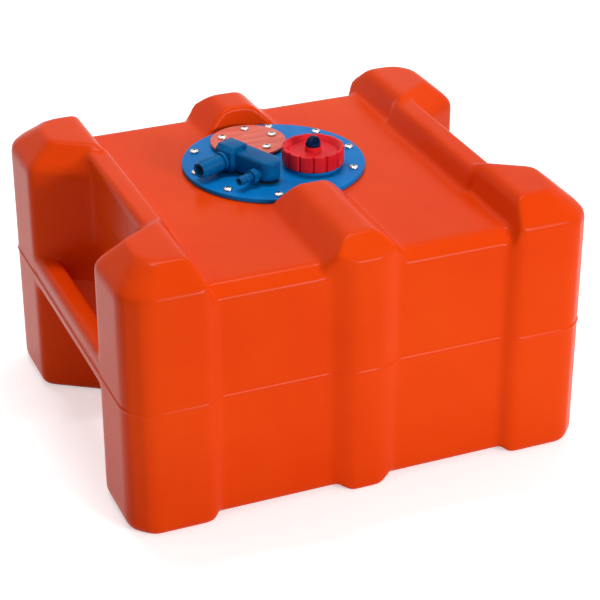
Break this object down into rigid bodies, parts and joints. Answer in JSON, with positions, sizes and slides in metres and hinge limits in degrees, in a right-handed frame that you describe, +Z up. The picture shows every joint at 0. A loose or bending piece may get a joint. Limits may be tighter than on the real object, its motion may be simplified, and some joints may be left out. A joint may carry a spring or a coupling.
{
  "type": "outboard fuel tank",
  "caption": "Portable moulded outboard fuel tank with hand recesses at both ends, a round fitting plate, vented filler cap, hose barbs and sender cover.",
  "frame": {"origin": "on the ground at the middle of the tank's outline", "axes": "+X along the tank's length, +Y towards the side nearer the fitting plate, +Z up"},
  "size_m": [0.5, 0.427, 0.2973],
  "materials": {
    "tank": "smooth moulded polyethylene, soft sheen",
    "plate": "moulded, satin",
    "head": "moulded, satin",
    "cover": "moulded, satin",
    "cap": "moulded, semi-gloss",
    "knob": "moulded, semi-gloss",
    "rubber": "matt",
    "steel": "bright",
    "insert": "turned",
    "strainer": "matt"
  },
  "bodies": {
    "tank": {"tank_shell": "tank", "plate_gasket": "rubber", "fitting_plate": "plate", "plate_screw_1": "steel", "plate_screw_2": "steel", "plate_screw_3": "steel", "plate_screw_4": "steel", "plate_screw_5": "steel", "plate_screw_6": "steel", "plate_screw_7": "steel", "plate_screw_8": "steel", "plate_screw_9": "steel", "plate_insert_1": "insert", "plate_insert_2": "insert", "plate_insert_3": "insert", "plate_insert_4": "insert", "plate_insert_5": "insert", "plate_insert_6": "insert", "plate_insert_7": "insert", "plate_insert_8": "insert", "plate_insert_9": "insert", "sender_gasket": "rubber", "sender_cover": "cover", "sender_screw_1": "steel", "sender_screw_2": "steel", "sender_screw_3": "steel", "sender_screw_4": "steel", "sender_screw_5": "steel", "head_gasket": "rubber", "pickup_head": "head", "vent_barb": "head", "fuel_barb": "head", "vent_barb_seal": "rubber", "fuel_barb_seal": "rubber", "vent_port_nut": "head", "fuel_port_nut": "head", "pickup_tube": "head", "pickup_strainer": "strainer"},
    "cap_lift": {"cap_seal": "rubber"},
    "cap": {"filler_cap": "cap"},
    "vent_lift": {"vent_knob_seal": "rubber"},
    "vent": {"vent_knob": "knob"}
  },
  "joints": [
    {"name": "cap_rise", "type": "slide", "parent": "tank", "child": "cap_lift", "axis": [0, 0, 1], "range_m": [0, 0.005]},
    {"name": "cap_turn", "type": "hinge", "parent": "cap_lift", "child": "cap", "pos_m": [0.0345, 0.014, 0.28], "axis": [0, 0, 1], "range_deg": [0, 450]},
    {"name": "vent_rise", "type": "slide", "parent": "cap", "child": "vent_lift", "axis": [0, 0, 1], "range_m": [0, 0.0015]},
    {"name": "vent_turn", "type": "hinge", "parent": "vent_lift", "child": "vent", "pos_m": [0.0345, 0.014, 0.288], "axis": [0, 0, 1], "range_deg": [0, 360]}
  ],
  "couplings": [
    {"joint": "cap_turn", "follows": "cap_rise", "rad_per_m": 1570.8},
    {"joint": "vent_turn", "follows": "vent_rise", "rad_per_m": 4188.7}
  ]
}
